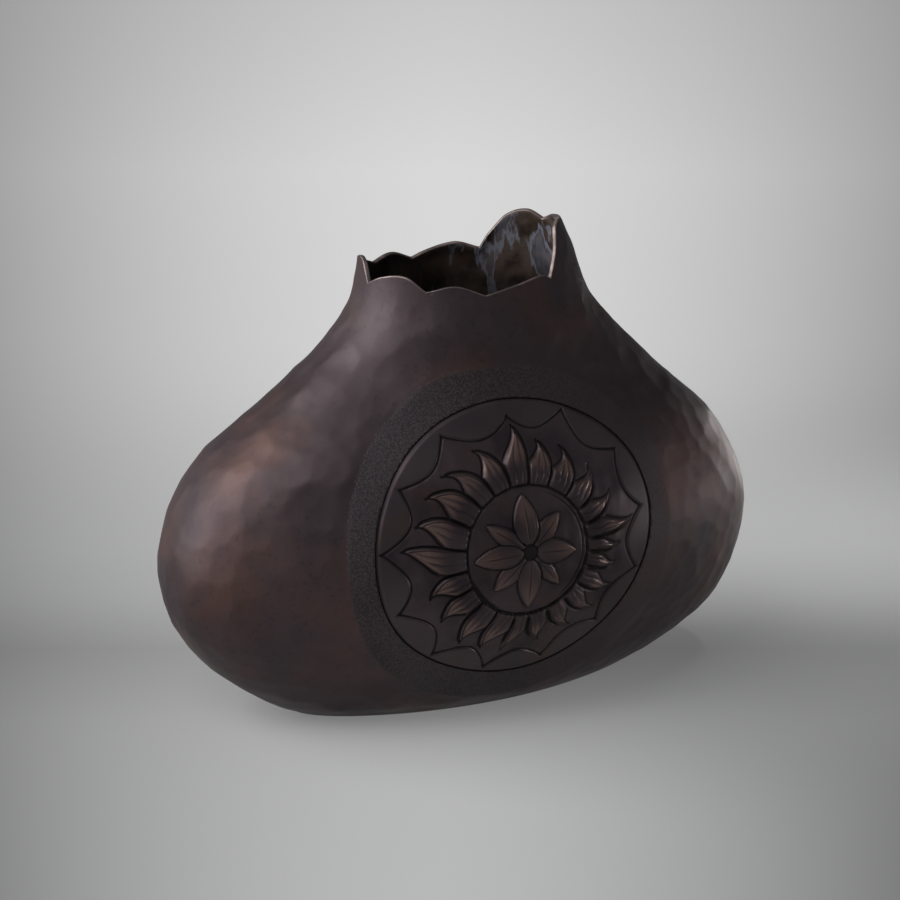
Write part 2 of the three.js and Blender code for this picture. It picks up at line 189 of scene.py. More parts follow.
def add_object(name, data):
    made = bpy.data.objects.new(name, data)
    bpy.context.scene.collection.objects.link(made)
    return made


def make_camera():
    data = bpy.data.cameras.new("camera")
    data.lens = CAMERA_LENS
    data.sensor_width = CAMERA_SENSOR
    data.sensor_fit = "HORIZONTAL"
    data.clip_end = 20
    camera = add_object("camera", data)
    towards = direction(CAMERA_TURN, CAMERA_RISE)
    camera.location = (Vector(CAMERA_TARGET) + towards * CAMERA_DISTANCE) * MM
    camera.rotation_euler = towards.to_track_quat("Z", "Y").to_euler()
    bpy.context.scene.camera = camera


# The wall's shape

def curve_through(points):
    """A smooth curve through (place, value) points, straight on beyond both ends."""
    places = np.array([p for p, _ in points], float)
    values = np.array([v for _, v in points], float)
    last = len(points) - 1
    before = np.maximum(np.arange(last + 1) - 1, 0)
    after = np.minimum(np.arange(last + 1) + 1, last)
    slopes = (values[after] - values[before]) / (places[after] - places[before])

    def at(place):
        place = np.asarray(place, float)
        i = np.clip(np.searchsorted(places, place, side="right") - 1, 0, last - 1)
        span = places[i + 1] - places[i]
        t = np.clip((place - places[i]) / span, 0, 1)
        rest = 1 - t
        smooth = (
            (1 + 2 * t) * rest**2 * values[i]
            + t * rest**2 * span * slopes[i]
            + t**2 * (3 - 2 * t) * values[i + 1]
            - t**2 * rest * span * slopes[i + 1]
        )
        below = np.minimum(place - places[0], 0) * slopes[0]
        above = np.maximum(place - places[last], 0) * slopes[last]
        return smooth + below + above

    return at


left_reach = curve_through([(p[0], p[1]) for p in PROFILE])
right_reach = curve_through([(p[0], p[2]) for p in PROFILE])
half_depth = curve_through([(p[0], p[3]) for p in PROFILE])


def swell(across, blunt, crown):
    return (1 - crown) * blunt + crown * (1 - across**2) ** 2


def outer_point(height, angle):
    """Points of the wall's smooth outer face; angle 0 is the right end, a quarter turn on the back."""
    cos, sin = np.cos(angle), np.sin(angle)
    n = END_BLUNTNESS
    scale = (np.abs(cos) ** n + np.abs(sin) ** n) ** (-1 / n)
    reach = np.where(cos > 0, right_reach(height), left_reach(height))
    crown = np.where(cos > 0, RIGHT_CROWN, LEFT_CROWN)
    depth = half_depth(height) * swell(np.abs(cos) * scale, np.abs(sin) * scale, crown)
    return np.stack([reach * cos * scale, np.sign(sin) * depth, height + 0 * angle], -1)


def outer_normal(height, angle):
    turn, rise = 0.02, 0.5
    along = outer_point(height, angle + turn) - outer_point(height, angle - turn)
    up = outer_point(height + rise, angle) - outer_point(height - rise, angle)
    normal = np.cross(along, up)
    return normal / np.linalg.norm(normal, axis=-1, keepdims=True)


def front_face(x, height):
    reach = np.where(x > 0, right_reach(height), left_reach(height))
    across = np.minimum(np.abs(x) / reach, 1)
    blunt = (1 - across**END_BLUNTNESS) ** (1 / END_BLUNTNESS)
    return -half_depth(height) * swell(across, blunt, np.where(x > 0, RIGHT_CROWN, LEFT_CROWN))


def walked(axis):
    """Tables that turn a distance along the wall from the medallion's middle into a step across or up."""
    step, reach = 0.25, 140
    place = np.arange(-reach, reach + step, step)
    x = MEDALLION_X + (place if axis == 0 else 0 * place)
    height = MEDALLION_HEIGHT + (place if axis == 1 else 0 * place)
    depth = front_face(x, height)
    length = np.concatenate([[0], np.cumsum(np.hypot(step, np.diff(depth)))])
    length -= np.interp(0, place, length)
    return length, place


walk_x = walked(0)
walk_z = walked(1)


def edge_radius(angle):
    """The radius of the medallion's edge in a direction."""
    waves_round = [size * np.cos(times * angle - lead * DEGREE) for times, size, lead in EDGE_DRIFTS]
    return MEDALLION_RADIUS + sum(waves_round)


def medallion_place(radius, angle):
    """Where a place on the medallion lies, seen square on."""
    x = np.interp(radius * np.cos(angle), *walk_x)
    z = np.interp(radius * np.sin(angle), *walk_z)
    return MEDALLION_X + x, MEDALLION_HEIGHT + z


def medallion_polar(x, height):
    """The other way round: radius and angle on the medallion for a place on the front."""
    along = np.interp(x - MEDALLION_X, walk_x[1], walk_x[0])
    up = np.interp(height - MEDALLION_HEIGHT, walk_z[1], walk_z[0])
    return np.hypot(along, up), np.arctan2(up, along)


# Small helpers for heights and masks

def smooth(low, high, value):
    t = np.clip((value - low) / (high - low), 0, 1)
    return t * t * (3 - 2 * t)


def groove(distance, width):
    """A rounded groove, 1 deep on its line and 0 from its width outwards."""
    return np.clip(1 - (distance / width) ** 2, 0, 1) ** 2


def waves(points, length, seed, count=7):
    """A gentle, seeded unevenness of about the given wavelength, within about -1 to 1."""
    random = np.random.default_rng(seed)
    total = np.zeros(points.shape[:-1])
    for _ in range(count):
        way = random.normal(size=3)
        way /= np.linalg.norm(way)
        phase = random.uniform(0, 2 * math.pi)
        total += np.sin(points @ way * 2 * math.pi / (length * random.uniform(0.7, 1.4)) + phase)
    return total / count * 1.6


# Planishing marks

# The marks' spacing, how steeply they rise from their middles, how unlike in height they are, and how far
# they lie below the smooth wall on the whole
SMALL_MARKS = (9.0, 0.0075, 0.12, 0.45)
LARGE_MARKS = (17.0, 0.0028, 0.14, 0.12)
# How many places are tried, from what height up, and how near two marks may lie as a share of the spacing
MARK_TRIES = 30000
MARKS_FROM = -6
MARK_GAP = 0.86
# How many marks shape a point, and how softly they meet
MARKS_PER_POINT = 5
MARK_SOFTNESS = 0.05

# Height and length of slow waves on the wall, on its neck and inside, and how far its two ends are drawn in
BODY_WAVE, BODY_WAVE_LENGTH = 0.45, 55.0
NECK_WAVE, NECK_WAVE_LENGTH = 0.3, 21.0
INSIDE_WAVE, INSIDE_WAVE_LENGTH = 0.12, 18.0
END_PULL = 0.4
# The heights over which marks and waves fade out below the mouth's edge and above the foot
EDGE_FADE = 12.0
FOOT_FADE = 5.0

# A short chased crease that runs down from the mouth's left notch: places across and up, half width, depth
CREASE = [(-36.5, 224), (-33, 221.9), (-30, 218.8), (-26.9, 216.1)]
CREASE_WIDTH = 1.6
CREASE_DEPTH = 0.5


def strike_marks(pitch, seed):
    """Seeded middles of the hammer's marks, about evenly spread over the wall, as 3-D points."""
    random = np.random.default_rng(seed)
    heights = random.uniform(MARKS_FROM, PROFILE[-1][0], MARK_TRIES)
    angles = random.uniform(0, 2 * math.pi, MARK_TRIES)
    steps = (-1, 0, 1)
    taken = {}
    kept = []
    for p in outer_point(heights, angles):
        i, j, k = (p // pitch).astype(int)
        cells = [(i + a, j + b, k + c) for a in steps for b in steps for c in steps]
        near = (q for cell in cells for q in taken.get(cell, ()))
        if all(((p - q) ** 2).sum() > (MARK_GAP * pitch) ** 2 for q in near):
            taken.setdefault((i, j, k), []).append(p)
            kept.append(p)
    return np.array(kept)


def marks_at(points, size, seed):
    """How far each point stands out from the smooth wall, and the tone of the mark it is on."""
    pitch, steepness, uneven, sunk = size
    marks = strike_marks(pitch, seed)
    tree = KDTree(len(marks))
    for i, p in enumerate(marks):
        tree.insert(p, i)
    tree.balance()
    random = np.random.default_rng(seed + 1)
    lift = random.uniform(-uneven, uneven, len(marks))
    tone = random.uniform(0, 1, len(marks))
    flat = points.reshape(-1, 3)
    out = np.empty(len(flat))
    shade = np.empty(len(flat))
    for n, p in enumerate(flat):
        found = tree.find_n(p, MARKS_PER_POINT)
        values = np.array([steepness * d * d + lift[i] for _, i, d in found])
        weights = np.exp(-(values - values.min()) / MARK_SOFTNESS)
        out[n] = values.min() - MARK_SOFTNESS * math.log(weights.sum())
        shade[n] = (weights * tone[[i for _, i, _ in found]]).sum() / weights.sum()
    return (out - sunk).reshape(points.shape[:-1]), shade.reshape(points.shape[:-1])


def crease_line(points):
    """How strongly a place lies on the crease below the mouth's left notch."""
    away = np.full(points.shape[:-1], np.inf)
    for (x0, z0), (x1, z1) in zip(CREASE[:-1], CREASE[1:]):
        dx, dz = x1 - x0, z1 - z0
        t = ((points[..., 0] - x0) * dx + (points[..., 2] - z0) * dz) / (dx * dx + dz * dz)
        t = np.clip(t, 0, 1)
        away = np.minimum(away, np.hypot(points[..., 0] - x0 - t * dx, points[..., 2] - z0 - t * dz))
    return groove(away, CREASE_WIDTH)


# The wall's grid

COLUMN_PITCH = 0.6 * DEGREE
OUTER_ROWS = 190
INNER_ROWS = 56
# The lower share of the outer rows is level, up to this share of the lowest notch's height; the rows above
# bend up to the mouth's edge
LEVEL_ROWS = 0.72
LEVEL_HEIGHT = 0.8
# The rows over the mouth's edge: how far each is below its top, and how far inside the outer face
EDGE_ROWS = [
    (RIM_ROUND * 0.3, RIM_ROUND * 0.3),
    (0, RIM_ROUND),
    (0, RIM_THICKNESS / 2),
    (0, RIM_THICKNESS - RIM_ROUND),
    (RIM_ROUND * 0.3, RIM_THICKNESS - RIM_ROUND * 0.3),
    (RIM_ROUND, RIM_THICKNESS),
]
# Which of a wall's materials its faces take
OUTSIDE, EDGE, INSIDE = 0, 1, 2

band_edge = curve_through(BAND_EDGE)


def edge_height(angle):
    """The mouth's height all the way round."""
    degrees = (np.degrees(angle) + 57) % 360 - 57
    height = np.zeros_like(degrees)
    for lobe in LOBES:
        here = (degrees >= lobe[0][0]) & (degrees <= lobe[-1][0])
        height[here] = curve_through(lobe)(degrees[here])
    return height


def columns(start, end):
    """Angles of the grid's columns over half a turn, with one on every notch."""
    notches = [lobe[0][0] % 360 * DEGREE for lobe in LOBES]
    stops = sorted([start, end] + [n for n in notches if start < n < end])
    parts = []
    for low, high in zip(stops, stops[1:]):
        parts.append(np.linspace(low, high, max(3, round((high - low) / COLUMN_PITCH)), endpoint=False))
    return np.concatenate([*parts, [end]])


def outside_heights(edge):
    """Heights of the outer rows from the foot to just under the mouth's edge."""
    lowest = min(h for lobe in LOBES for _, h in lobe) - RIM_BAND - RIM_ROUND
    level = lowest * LEVEL_HEIGHT
    share = np.linspace(0, 1, OUTER_ROWS)[:, None]
    below = share / LEVEL_ROWS * level
    above = level + (edge - RIM_ROUND - level) * (share - LEVEL_ROWS) / (1 - LEVEL_ROWS)
    return np.where(share < LEVEL_ROWS, below, above)


def outside_rows(angles, edge):
    """The hammered outside's points, each with its tone and how far it is inside the matt band."""
    heights = outside_heights(edge)
    turn = angles[None, :] + 0 * heights
    points = outer_point(heights, turn)
    x = points[..., 0]
    front = points[..., 1] < 0
    radius, around = medallion_polar(x, points[..., 2])
    band = np.where(front, band_edge(np.degrees(around) % 360) - radius, -FAR_FROM_BAND)
    small, small_tone = marks_at(points, SMALL_MARKS, SEED)
    large, large_tone = marks_at(points, LARGE_MARKS, SEED + 60)
    open_wall = (1 - smooth(-5, 3, band)) * (1 - smooth(FOOT_FADE, 1, heights))
    near_edge = smooth(EDGE_FADE, 1, edge - RIM_ROUND - heights)
    more_to_right = 0.5 + 0.5 * smooth(-70, 110, x)
    more_to_left = 0.35 + 0.65 * smooth(60, -50, x)
    lift = small * open_wall * (1 - 0.6 * near_edge) * more_to_right
    lift += large * open_wall * (1 - near_edge) * more_to_left
    sway = waves(points, BODY_WAVE_LENGTH, SEED + 2) * BODY_WAVE
    sway += waves(points, NECK_WAVE_LENGTH, SEED + 3) * NECK_WAVE * smooth(130, 185, heights)
    lift += sway * open_wall * (1 - near_edge)
    lift -= END_PULL * smooth(130, 155, np.abs(x))
    lift -= CREASE_DEPTH * crease_line(points) * front
    return points + outer_normal(heights, turn) * lift[..., None], 0.5 * (small_tone + large_tone), band


def edge_rows(angles, edge):
    """The points over the mouth's rounded edge."""
    rows = []
    turn = angles[None, :]
    for drop, depth in EDGE_ROWS:
        height = (edge - drop)[None, :]
        rows.append(outer_point(height, turn) - outer_normal(height, turn) * depth)
    return np.concatenate(rows)


def inside_rows(angles, edge):
    """The inside's points down to the floor, closer together near the thicker mouth."""
    down = np.linspace(0, 1, INNER_ROWS)[1:, None] ** 1.3
    heights = (edge - RIM_ROUND) * (1 - down)
    turn = angles[None, :] + 0 * heights
    thick = WALL + (RIM_THICKNESS - WALL) * smooth(RIM_BAND, 0, edge - heights)
    normals = outer_normal(heights, turn)
    points = outer_point(heights, turn) - normals * thick[..., None]
    dents = waves(points, INSIDE_WAVE_LENGTH, SEED + 5) * INSIDE_WAVE
    dents *= (1 - smooth(6, 2, heights)) * smooth(0, 4, edge - heights)
    return points + normals * np.abs(dents)[..., None]


def wall_rows(angles):
    """Rings of points up the outside, over the edge and down the inside, and each ring's material."""
    edge = edge_height(angles) - RIM_DROP
    outside, tone, band = outside_rows(angles, edge)
    rest = np.concatenate([edge_rows(angles, edge), inside_rows(angles, edge)])
    kinds = [OUTSIDE] * OUTER_ROWS + [EDGE] * len(EDGE_ROWS) + [INSIDE] * (INNER_ROWS - 1)
    tones = np.concatenate([tone, np.full(rest.shape[:2], 0.5)])
    bands = np.concatenate([band, np.full(rest.shape[:2], -FAR_FROM_BAND)])
    return np.concatenate([outside, rest]), np.array(kinds), tones, bands


def mesh_object(name, vertices, faces, materials=(), index=None):
    """A smoothly shaded mesh in the scene, from places in millimetres."""
    mesh = bpy.data.meshes.new(name)
    mesh.from_pydata((np.asarray(vertices) * MM).tolist(), [], faces)
    mesh.validate()
    mesh.update()
    for material in materials:
        mesh.materials.append(material)
    if index is not None:
        mesh.polygons.foreach_set("material_index", np.asarray(index, np.int32))
    mesh.polygons.foreach_set("use_smooth", np.ones(len(mesh.polygons), bool))
    return add_object(name, mesh)


def point_attribute(piece, name, values):
    attribute = piece.data.attributes.new(name, "FLOAT", "POINT")
    attribute.data.foreach_set("value", np.asarray(values, np.float32).ravel())


def half_wall(name, start, end, materials):
    """One raised half of the wall, closed by a flat face at each of its two ends."""
    angles = columns(start, end)
    points, kinds, tones, bands = wall_rows(angles)
    rows, count = points.shape[:2]
    points[:, [0, count - 1], 1] = 0.0
    number = np.arange(rows * count).reshape(rows, count)
    here, right = number[:, :-1], number[:, 1:]
    next_here, next_right = np.roll(here, -1, 0), np.roll(right, -1, 0)
    faces = np.stack([here, right, next_right, next_here], -1).reshape(-1, 4)
    kind = np.maximum(kinds, np.roll(kinds, -1))
    kind[OUTER_ROWS - 1] = EDGE
    kind[-1] = INSIDE
    index = [*np.repeat(kind, count - 1), INSIDE, INSIDE]
    caps = [number[:, 0].tolist(), number[::-1, -1].tolist()]
    piece = mesh_object(name, points.reshape(-1, 3), faces.tolist() + caps, materials, index)
    for cap in piece.data.polygons[-2:]:
        cap.use_smooth = False
    point_attribute(piece, "tone", tones)
    point_attribute(piece, "band", bands)
    return piece


# The medallion's relief, as a height over each place of the disc

GRID = 300
BACK_STEP = 6
FIELD_DEPTH = 0.42
DEEPEST = 1.35
# Half widths of the chased lines outside and inside the ring, and of the wider one at its lower left, which
# is cut as a groove and darkened as a painted shadow
RING_LINE = 1.45
RING_INNER_LINE = 0.6
RING_CRESCENT = 1.7
# Height and length of the ground's waves
GROUND_WAVES = ((0.2, 10), (0.25, 26), (0.05, 4.2))

near_side = curve_through(NEAR_SIDE)
far_side = curve_through(FAR_SIDE)


def disc_grid(count):
    """Places spread evenly over a disc of radius 1: a square grid bent to a round edge."""
    line = np.linspace(-1, 1, count + 1)
    u, v = np.meshgrid(line, line)
    radius = np.maximum(np.abs(u), np.abs(v))
    wide = np.abs(u) >= np.abs(v)
    first = np.where(wide, u, v)
    second = np.where(wide, v, u)
    eighth = np.divide(second, first, out=np.zeros_like(u), where=first != 0) * math.pi / 4
    angle = np.where(wide, eighth, math.pi / 2 - eighth) + np.where(first < 0, math.pi, 0)
    return radius, angle


def wrap_degrees(angle):
    return (angle + 180) % 360 - 180


def flame_sides(flame, radius, angle):
    """How far along a flame a place is, and how far in mm inside its clockwise edge and its other edge."""
    root, half, tip, reach = flame
    t = (radius - FLAME_START) / (reach - FLAME_START)
    s = np.clip(t, 0, 1)

    def edges(share):
        middle = root + (tip - root) * share**FLAME_HOOK
        return middle - half * near_side(share), middle + half * far_side(share)

    near, far = edges(s)
    step = 0.02
    near_on, far_on = edges(np.clip(s + step, 0, 1))
    span = (np.clip(s + step, 0, 1) - s) * (reach - FLAME_START) + 1e-6
    scale = radius * DEGREE
    near_slope = (near_on - near) * scale / span
    far_slope = (far_on - far) * scale / span
    turn = np.degrees(angle)
    from_near = wrap_degrees(turn - near) * scale / np.hypot(1, near_slope)
    from_far = -wrap_degrees(turn - far) * scale / np.hypot(1, far_slope)
    across = from_far / np.maximum(from_near + from_far, 0.05) * 2 - 1
    return t, from_near, from_far, across


def flow_lines(t, across, width, seed):
    """How strongly a place is on two S-shaped lines along a flame, and the rounded lobes between them."""
    random = np.random.default_rng(seed)
    sway = random.uniform(0.14, 0.26)
    bend = sway * np.sin(2 * math.pi * (t * 1.05 + random.uniform(-0.08, 0.08)))
    first = -0.36 + bend + 0.1 * t
    second = 0.24 + bend
    on_first = groove((across - first) * width, FLOW_WIDTH) * smooth(-0.02, 0.1, t) * smooth(0.74, 0.5, t)
    on_second = groove((across - second) * width, FLOW_WIDTH) * smooth(0.02, 0.14, t) * smooth(0.95, 0.75, t)
    stops = np.sort(np.stack([np.full_like(t, -1.0), first, second, np.full_like(t, 1.0)]), axis=0)
    lobes = np.zeros_like(t)
    for low, high in zip(stops[:-1], stops[1:]):
        p = (across - low) / np.maximum(high - low, 0.05)
        lobes = np.where((p >= 0) & (p < 1), 1 - (2 * p - 1) ** 2, lobes)
    return np.maximum(on_first, 0.6 * on_second), lobes


def raise_flames(radius, angle, height, dark, rubbed_and_highlit):
    """Tongues that stand edge to edge, each with lobes between its flow lines."""
    for index in reversed(range(len(FLAMES))):
        t, from_near, from_far, across = flame_sides(FLAMES[index], radius, angle)
        inward = np.minimum(from_near, from_far)
        inside = (inward > 0) & (t > -0.02) & (t < 1)
        width = np.maximum(from_near + from_far, 0.1) / 2
        body = 1 - (1 - np.clip(inward / FLAME_SHOULDER, 0, 1)) ** 2
        length = np.sin(math.pi * np.clip(0.2 + 0.72 * t, 0, 1)) ** 0.8
        rise = FLAME_RISE * (0.35 + 0.65 * length) * body * (0.5 + 0.5 * smooth(-0.02, 0.2, t))
        flow, lobes = flow_lines(t, across, width, SEED + 40 + index)
        full = smooth(0, 1.6, inward)
        rise = rise * (0.86 - 0.14 * across) + LOBE_RISE * (lobes - 0.4) * full - FLOW_DEPTH * flow * full
        height[:] = np.where(inside, np.minimum(rise, FLAME_RISE) - FIELD_DEPTH * (1 - body), height)
        # The flow lines' dark: patina in the lines and painted shade
        dark[:] = np.where(inside, 0.16 * flow * full, dark)
        # Lighter crests: partly rubbed copper, partly a painted highlight on the lobes and towards the tips
        wear_and_painted_light = body * (0.45 + 0.55 * lobes) * (1 - 0.4 * flow) * (0.12 + 0.88 * smooth(0.2, 0.7, t))
        rubbed_and_highlit[:] = np.where(inside, wear_and_painted_light, rubbed_and_highlit)


def flame_lines(radius, angle):
    """How deep and how dark the chased lines along the flames' sides are; the dark is partly patina and
    partly painted shade.
    """
    cut = np.zeros_like(radius)
    line = np.zeros_like(radius)
    for flame in FLAMES:
        t, from_near, from_far, _ = flame_sides(flame, radius, angle)
        root = flame[0]
        right = -100 < root < 45
        wide, deep = FLAME_LINE_RIGHT if right else FLAME_LINE
        far_deep = 0.75 if root > 100 else 0.55
        ends = smooth(1.07, 1.0, t)
        along = smooth(-0.03, 0.03, t) * ends
        if right:
            along = along * (0.3 + 0.7 * smooth(0.05, 0.2, t) * smooth(0.85, 0.62, t))
        near_line = groove(from_near + 0.15, wide) * along * (from_far > -1)
        second = groove(from_near - 1.35, 0.5) * smooth(0.2, 0.32, t) * smooth(0.97, 0.9, t)
        second = second * (from_far > 0.6)
        far_line = groove(from_far + 0.2, 0.75) * smooth(0.4, 0.5, t) * ends * (from_near > -1)
        cut = np.maximum.reduce([cut, deep * near_line, 0.4 * second, far_deep * far_line])
        line = np.maximum.reduce([line, near_line, 0.6 * second, (far_deep + 0.15) * far_line])
    return cut, line


def chase(cut, line, height, dark, rubbed_and_highlit):
    """Cuts lines into the relief, darkens them with patina and painted shade, and takes the rubbing and the
    painted highlight off them.
    """
    height -= cut
    dark[:] = np.maximum(dark, line)
    rubbed_and_highlit *= 1 - smooth(0.1, 0.6, line)


def add_flames(radius, angle, height, dark, rubbed_and_highlit):
    raise_flames(radius, angle, height, dark, rubbed_and_highlit)
    chase(*flame_lines(radius, angle), height, dark, rubbed_and_highlit)
    np.maximum(height, -DEEPEST, out=height)


def add_petals(radius, angle, height, dark, rubbed_and_highlit):
    """Eight leaves, each with a chased outline, a line along its middle and fine lines beside it."""
    cut = np.zeros_like(radius)
    line = np.zeros_like(radius)
    for tip, reach, wide in PETALS[1::2] + PETALS[::2]:
        t = (radius - PETAL_START) / (reach - PETAL_START)
        off = wrap_degrees(np.degrees(angle) - tip)
        ahead = np.abs(off) < 80
        side = off * DEGREE * radius
        half = wide * np.sin(math.pi * np.clip(t, 0, 1) ** 0.9) ** 0.8 + 0.1
        across = side / half
        inside = (np.abs(across) < 1) & (t > 0) & (t < 1) & ahead
        crown = np.clip(1 - np.abs(across) ** 2.6, 0, 1)
        rise = (0.3 + PETAL_RISE * np.sin(math.pi * np.clip(0.1 + 0.85 * t, 0, 1))) * crown**0.6
        vein = groove(side, VEIN_WIDTH) * smooth(0.04, 0.2, t) * smooth(0.9, 0.65, t)
        fine = sum(groove(across - place, 0.1) for place in FINE_LINES)
        fine = fine * smooth(0.1, 0.3, t) * smooth(0.85, 0.6, t)
        rise = rise - VEIN_DEPTH * vein - 0.1 * fine
        slope = wide * math.pi / (reach - PETAL_START) * np.abs(np.cos(math.pi * np.clip(t, 0, 1)))
        outline = groove((np.abs(side) - half - 0.25) / np.hypot(1, slope), OUTLINE_WIDTH) * ahead
        outline = outline * smooth(-0.03, 0.03, t) * smooth(1.05, 0.99, t)
        outline = outline * (0.6 + 0.4 * smooth(0.75, 0.1, t))
        height[:] = np.where(inside, rise, height)
        dark[:] = np.where(inside, 0.5 * vein + 0.2 * fine, dark)
        # Lighter crowns: partly rubbed copper, partly a painted highlight towards the tips
        wear_and_painted_light = crown * (0.3 + 0.35 * smooth(0.3, 0.8, t)) * (1 - 0.6 * vein)
        rubbed_and_highlit[:] = np.where(inside, wear_and_painted_light, rubbed_and_highlit)
        # The outlines are darkened in chase(), partly as patina and partly as painted shade
        cut = np.where(inside, 0, np.maximum(cut, OUTLINE_DEPTH * outline))
        line = np.where(inside, 0, np.maximum(line, outline))
    chase(cut, line, height, dark, rubbed_and_highlit)


def add_scallops(radius, angle, height, dark):
    """Smooth fields along the edge, each bounded by a chased arc that bows inwards."""
    edge = edge_radius(angle)
    turn = np.degrees(angle) % 360
    line = np.zeros_like(radius)
    field = np.zeros_like(radius)
    for (start, inset, deep), (after, next_inset, _) in zip(SCALLOPS, SCALLOPS[1:] + SCALLOPS[:1]):
        span = (after - start) % 360
        t = ((turn - start + 20) % 360 - 20) / span
        s = np.clip(t, 0.004, 0.996)
        bow = np.sin(math.pi * s)
        arc = edge - (inset + (next_inset - inset) * s) - deep * bow**0.8
        steep = deep * 0.8 * math.pi * np.cos(math.pi * s) * bow**-0.2 / (span * DEGREE * radius + 1)
        off = (radius - arc) / np.hypot(1, steep)
        ends = smooth(-0.03, 0.0, t) * smooth(1.03, 1.0, t)
        here = (t >= 0) & (t < 1)
        field = np.where(here, smooth(0.1, 1.3, off) * (1 + 0.35 * bow), field)
        line = np.maximum(line, groove(off + 0.35, SCALLOP_WIDTH) * ends * (0.75 + 0.25 * (1 - bow)))
    inside_edge = smooth(0.9, 1.9, edge - radius)
    field = field * inside_edge
    line = line * inside_edge
    height += SCALLOP_RISE * field - SCALLOP_DEPTH * line
    dark[:] = np.maximum(dark * (1 - smooth(0.3, 0.8, field)), line)
    return field


def add_boss(radius, height, dark, rubbed_and_highlit):
    """The round knob in the petals' middle, dark and with a dark line round it."""
    boss = smooth(BOSS_RADIUS + 0.2, BOSS_RADIUS - 1.8, radius)
    near = radius < BOSS_RADIUS + 0.5
    height[:] = np.where(near, np.maximum(0.85 * boss, -0.9 * (1 - boss)), height)
    dark[:] = np.where(near, np.maximum(0.62, 1 - boss), dark)
    rubbed_and_highlit *= 1 - near


def ring_lines(radius, angle):
    """How strongly a place lies on the ring's lines, which widen to a crescent at the lower left; the same
    value darkens them, partly as patina and partly as painted shade, and the crescent's dark is a painted
    shadow.
    """
    turn = np.degrees(angle)
    heavy = 0.86 + 0.18 * np.cos((turn + 130) * DEGREE)
    right = smooth(75, 45, np.abs(wrap_degrees(turn - 5)))
    lower_left = smooth(30, 8, np.abs(wrap_degrees(turn + 140)))
    outer_line = groove(radius - RING_RADIUS - RING_SPACING / 2, RING_LINE) * heavy
    inner_line = groove(radius - RING_RADIUS + RING_SPACING / 2, RING_INNER_LINE) * (0.1 + 0.6 * right)
    crescent = lower_left * groove(radius - RING_RADIUS - 0.2, RING_CRESCENT) * 0.8
    return np.maximum.reduce([outer_line, inner_line, crescent])


def medallion_relief(radius, angle, place):
    """Lift off the wall's face; how dark a place is, from patina and painted shade in the chased lines; how
    much lighter it is, from rubbing and a painted highlight on the crests; and how far it is in a smooth
    field.
    """
    height = np.full_like(radius, -FIELD_DEPTH)
    dark = np.zeros_like(radius)
    rubbed_and_highlit = np.zeros_like(radius)
    add_petals(radius, angle, height, dark, rubbed_and_highlit)
    add_flames(radius, angle, height, dark, rubbed_and_highlit)
    field = add_scallops(radius, angle, height, dark)
    add_boss(radius, height, dark, rubbed_and_highlit)
    ring = ring_lines(radius, angle)
    height -= ring
    # The ring's lines darkened: patina in them and painted shade, with a painted shadow in the crescent
    dark[:] = np.maximum(dark, ring)
    rubbed_and_highlit *= 1 - smooth(0.1, 0.5, ring)
    inside_edge = edge_radius(angle) - radius
    seeds = range(SEED + 21, SEED + 24)
    ground = sum(waves(place, long, seed) * size for seed, (size, long) in zip(seeds, GROUND_WAVES))
    height += ground * smooth(0.5, 0.0, height) * smooth(0, 3, inside_edge) * (1 - 0.6 * field)
    height -= 0.5 * smooth(0.8, 0, inside_edge)
    dark[:] = np.maximum(dark, smooth(0.75, 0.1, inside_edge))
    return np.maximum(height, -DEEPEST), dark, rubbed_and_highlit, field


def grid_faces(number):
    """The square faces of a grid of numbered points."""
    corners = [number[:-1, :-1], number[:-1, 1:], number[1:, 1:], number[1:, :-1]]
    return np.stack(corners, -1).reshape(-1, 4).tolist()


def disc_sides(number, other):
    """The faces between the border of the fine front grid and that of the coarser back."""
    faces = []
    for fine, coarse, flip in (
        (number[0, :], other[0, :], False),
        (number[:, -1], other[:, -1], False),
        (number[-1, :], other[-1, :], True),
        (number[:, 0], other[:, 0], True),
    ):
        for i in range(len(coarse) - 1):
            across = fine[i * BACK_STEP:(i + 1) * BACK_STEP + 1]
            ring = [int(n) for n in (coarse[i], coarse[i + 1], *across[::-1])]
            faces.append(ring[::-1] if flip else ring)
    return faces


def make_medallion(material, back_material):
    radius, angle = disc_grid(GRID)
    radius = radius * edge_radius(angle)
    x, height = medallion_place(radius, angle)
    face = front_face(x, height)
    lift, *looks = medallion_relief(radius, angle, np.stack([x, face, height], -1))
    front = np.stack([x, face - lift, height], -1)
    back_x, back_z = x[::BACK_STEP, ::BACK_STEP], height[::BACK_STEP, ::BACK_STEP]
    near = 0.5
    slope_x = (front_face(back_x + near, back_z) - front_face(back_x - near, back_z)) / (2 * near)
    slope_z = (front_face(back_x, back_z + near) - front_face(back_x, back_z - near)) / (2 * near)
    behind = face[::BACK_STEP, ::BACK_STEP] + WALL * np.sqrt(1 + slope_x**2 + slope_z**2)
    back = np.stack([back_x, behind, back_z], -1)
    number = np.arange(radius.size).reshape(radius.shape)
    other = radius.size + np.arange(back_x.size).reshape(back_x.shape)
    front_faces = grid_faces(number)
    rest_faces = grid_faces(other.T) + disc_sides(number, other)
    index = [0] * len(front_faces) + [1] * len(rest_faces)
    vertices = np.concatenate([front.reshape(-1, 3), back.reshape(-1, 3)])
    piece = mesh_object("medallion", vertices, front_faces + rest_faces, [material, back_material], index)
    for name, values in zip(("dark", "rubbed_and_highlit", "field"), looks):
        point_attribute(piece, name, np.concatenate([values.ravel(), np.zeros(back_x.size)]))
    return piece


# Materials

def colour(red, green, blue):
    """A colour given as it is seen on a screen, from 0 to 255, as the shader takes it."""
    def channel(value):
        value /= 255
        return value / 12.92 if value <= 0.04045 else ((value + 0.055) / 1.055) ** 2.4
    return (channel(red), channel(green), channel(blue), 1)


